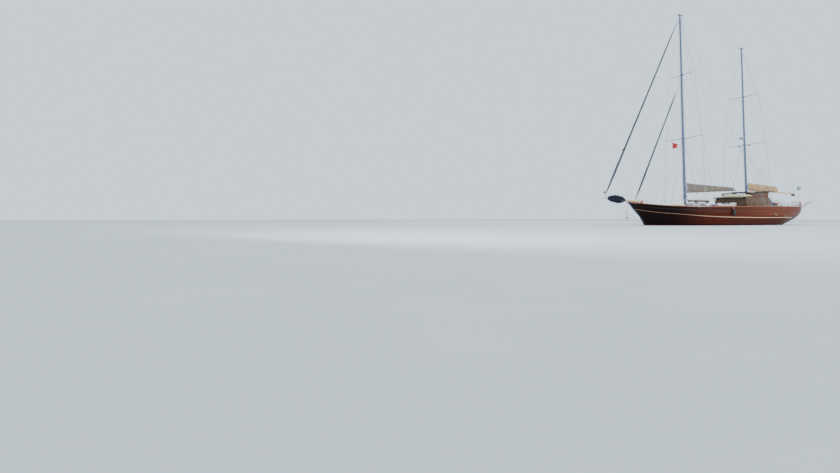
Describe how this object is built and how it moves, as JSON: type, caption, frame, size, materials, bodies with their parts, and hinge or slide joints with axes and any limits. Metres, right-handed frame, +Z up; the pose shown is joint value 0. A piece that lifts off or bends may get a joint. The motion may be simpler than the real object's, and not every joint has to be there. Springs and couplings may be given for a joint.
{
  "type": "sailing yacht",
  "caption": "Wooden gulet-style ketch motor-sailer: clipper bow and bowsprit, varnished hull with long keel, deckhouse, furled headsails and covered sails on the booms.",
  "frame": {"origin": "on the centreline at the waterline, amidships", "axes": "+X to the bow, +Y to port, +Z up"},
  "size_m": [30.1507, 6.43, 26.04],
  "materials": {
    "varnished_hull": "glossy varnish over reddish-brown planks",
    "varnished_trim": "glossy varnish",
    "teak": "bare scrubbed teak",
    "bright_wood": "light varnished pine",
    "cream_paint": "satin cream paint",
    "keel_iron": "dark red-brown antifouling",
    "spar_paint": "satin blue-grey paint",
    "steel": "polished stainless steel",
    "wire": "stainless wire rope",
    "white_metal": "gloss white paint",
    "anchor_iron": "dark galvanised",
    "bronze": "cast bronze",
    "dark_sailcloth": "dark grey sun strip of the furled sails",
    "navy_cloth": "navy-blue canvas",
    "greybeige_cloth": "grey-beige canvas",
    "beige_cloth": "warm beige canvas",
    "curtain_cloth": "grey-green awning cloth",
    "canvas": "pale-yellow canvas",
    "cushion": "cream cushion cloth",
    "tender_skin": "dark navy coated fabric",
    "fender_rubber": "matt black",
    "red_cloth": "plain red bunting"
  },
  "bodies": {
    "boat": {"hull": "varnished_hull", "keel_shoe": "keel_iron", "bulwark": "varnished_hull", "cap_rail": "varnished_trim", "deck": "teak", "rub_strake_port": "cream_paint", "rub_strake_starboard": "cream_paint", "bowsprit": "bright_wood", "bowsprit_bitts": "varnished_trim", "bobstay": "steel", "genoa_furled": "dark_sailcloth", "staysail_furled": "dark_sailcloth", "baby_stay": "wire", "jib_bundle": "navy_cloth", "main_mast": "spar_paint", "mizzen_mast": "spar_paint", "main_lower_spreaders": "spar_paint", "main_upper_spreaders": "spar_paint", "mizzen_lower_spreaders": "spar_paint", "mizzen_upper_spreaders": "spar_paint", "main_shrouds_port": "wire", "main_shrouds_starboard": "wire", "mizzen_shrouds_port": "wire", "mizzen_shrouds_starboard": "wire", "main_backstay_port": "wire", "main_backstay_starboard": "wire", "sunbed_forward": "cushion", "sunbed_aft": "cushion", "tender": "tender_skin", "trunk_cabin": "varnished_trim", "deckhouse_walls": "varnished_trim", "roof_front": "canvas", "roof_aft": "varnished_trim", "curtains": "curtain_cloth", "helm_console": "varnished_trim", "aft_bench": "varnished_trim", "aft_cushion": "cushion", "stern_balustrade_port": "white_metal", "stern_balustrade_starboard": "white_metal", "stern_pole": "white_metal", "passerelle_bracket": "steel", "windlass": "steel", "hatch_coaming": "varnished_trim", "bow_rail_port": "white_metal", "bow_rail_starboard": "white_metal", "anchor": "anchor_iron", "fender": "fender_rubber", "signal_flag": "red_cloth", "radar": "white_metal"},
    "main_boom": {"main_boom": "spar_paint", "main_sail_cover": "greybeige_cloth"},
    "mizzen_boom": {"mizzen_boom": "bright_wood", "mizzen_sail_cover": "beige_cloth"},
    "rudder": {"rudder": "varnished_hull"},
    "propeller": {"propeller": "bronze"},
    "steering_wheel": {"steering_wheel": "varnished_trim"},
    "deckhouse_door": {"deckhouse_door": "varnished_trim"},
    "hatch_lid": {"hatch_lid": "varnished_trim"},
    "passerelle": {"passerelle": "bright_wood"}
  },
  "joints": [
    {"name": "main_boom_swing", "type": "hinge", "parent": "boat", "child": "main_boom", "pos_m": [4.62, 0, 3.5], "axis": [0, 0, 1], "range_deg": [-60, 60]},
    {"name": "mizzen_boom_swing", "type": "hinge", "parent": "boat", "child": "mizzen_boom", "pos_m": [-4.34, 0, 3.93], "axis": [0, 0, 1], "range_deg": [-60, 60]},
    {"name": "rudder_turn", "type": "hinge", "parent": "boat", "child": "rudder", "pos_m": [-8.32, 0, -1.5], "axis": [0, 0, 1], "range_deg": [-35, 35]},
    {"name": "propeller_spin", "type": "hinge", "parent": "boat", "child": "propeller", "pos_m": [-7.6, 0, -1.45], "axis": [1, 0, 0], "continuous": true},
    {"name": "steering_wheel_turn", "type": "hinge", "parent": "boat", "child": "steering_wheel", "pos_m": [-9.07, 0, 2.3556], "axis": [1, 0, 0], "range_deg": [-540, 540]},
    {"name": "deckhouse_door_hinge", "type": "hinge", "parent": "boat", "child": "deckhouse_door", "pos_m": [-5.31, -0.36, 2.2], "axis": [0, 0, 1], "range_deg": [0, 100]},
    {"name": "hatch_lid_hinge", "type": "hinge", "parent": "boat", "child": "hatch_lid", "pos_m": [8.58, 0, 1.6979], "axis": [0, 1, 0], "range_deg": [0, 80]},
    {"name": "passerelle_hinge", "type": "hinge", "parent": "boat", "child": "passerelle", "pos_m": [-12.42, -0.13, 1.72], "axis": [0, 1, 0], "range_deg": [-25, 55]}
  ],
  "couplings": [
    {"joint": "steering_wheel_turn", "follows": "rudder_turn", "ratio": 15.4}
  ]
}
